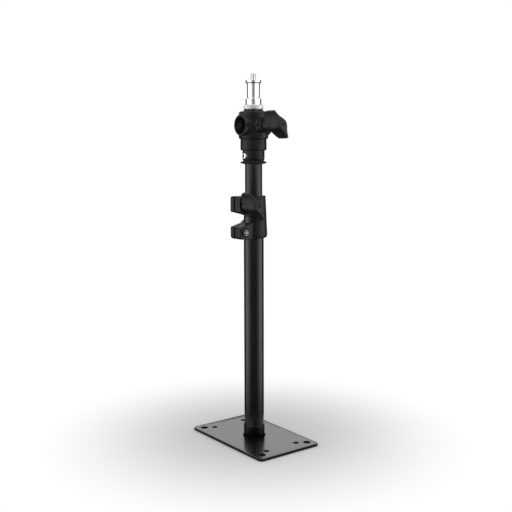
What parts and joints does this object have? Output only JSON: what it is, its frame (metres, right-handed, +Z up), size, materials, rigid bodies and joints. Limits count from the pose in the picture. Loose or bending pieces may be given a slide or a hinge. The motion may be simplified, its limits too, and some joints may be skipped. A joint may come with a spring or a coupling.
{
  "type": "light boom stand",
  "caption": "Short telescopic light stand on a screw-down plate, with clamp collar, turning mast, side-socket head, winged knobs and a lift-out threaded spigot.",
  "frame": {"origin": "middle of the plate's underside, on the mast's axis", "axes": "+Z up the mast; +X along the plate's long side and out along both knobs; the collar's ears and the front side socket face -Y"},
  "size_m": [0.208, 0.13, 0.6467],
  "materials": {
    "black_paint": "satin black powder coat",
    "black_casting": "matt black coated casting",
    "black_plastic": "fine grained moulding",
    "black_rubber": "matt",
    "chrome": "bright plate",
    "zinc_steel": "bright zinc",
    "dark_steel": "plain turned",
    "brass": "turned"
  },
  "bodies": {
    "stand": {"base_plate": "black_paint", "foot_ferrule": "black_paint", "foot_weld": "black_paint", "foot_plug": "dark_steel", "foot_screw": "zinc_steel", "outer_tube": "black_paint", "guide_bush": "black_plastic", "collar_body": "black_plastic", "collar_bolt": "zinc_steel", "collar_nut": "dark_steel", "knob_bolt": "zinc_steel"},
    "collar_washer": {"collar_knob_washer": "dark_steel"},
    "collar_wing_knob": {"collar_knob": "black_plastic", "collar_knob_insert": "brass"},
    "mast_guide": {"guide_ring": "black_plastic"},
    "mast": {"mast_tube": "black_paint", "mast_end_plug": "black_plastic", "stop_disk": "black_rubber", "neck_socket": "black_plastic", "neck_screw": "zinc_steel", "neck_ring": "black_plastic", "head_body": "black_casting", "head_thread_insert": "brass"},
    "clamp_pad": {"pressure_pad": "brass"},
    "head_wing_knob": {"head_knob": "black_plastic", "head_knob_screw": "zinc_steel"},
    "spigot_seat": {"spigot_washer": "black_rubber"},
    "spigot": {"spigot_body": "chrome", "knurled_ring": "chrome", "spigot_stud": "chrome"}
  },
  "joints": [
    {"name": "mast_slide", "type": "slide", "parent": "stand", "child": "mast_guide", "axis": [0, 0, 1], "range_m": [-0.0545, 0.27]},
    {"name": "mast_turn", "type": "hinge", "parent": "mast_guide", "child": "mast", "pos_m": [0, 0, 0.4], "axis": [0, 0, 1], "continuous": true},
    {"name": "collar_knob_feed", "type": "slide", "parent": "stand", "child": "collar_washer", "axis": [1, 0, 0], "range_m": [0, 0.0025]},
    {"name": "collar_knob_turn", "type": "hinge", "parent": "collar_washer", "child": "collar_wing_knob", "pos_m": [0.02, -0.031, 0.423], "axis": [1, 0, 0], "range_deg": [0, 720]},
    {"name": "head_knob_feed", "type": "slide", "parent": "mast", "child": "clamp_pad", "axis": [1, 0, 0], "range_m": [0, 0.0025]},
    {"name": "head_knob_turn", "type": "hinge", "parent": "clamp_pad", "child": "head_wing_knob", "pos_m": [0.035, 0, 0.5591], "axis": [1, 0, 0], "range_deg": [0, 720]},
    {"name": "spigot_lift", "type": "slide", "parent": "mast", "child": "spigot_seat", "axis": [0, 0, 1], "range_m": [0, 0.04]},
    {"name": "spigot_turn", "type": "hinge", "parent": "spigot_seat", "child": "spigot", "pos_m": [0, 0, 0.6], "axis": [0, 0, 1], "continuous": true}
  ],
  "couplings": [
    {"joint": "collar_knob_turn", "follows": "collar_knob_feed", "rad_per_m": 5026.5},
    {"joint": "head_knob_turn", "follows": "head_knob_feed", "rad_per_m": 5026.5}
  ]
}
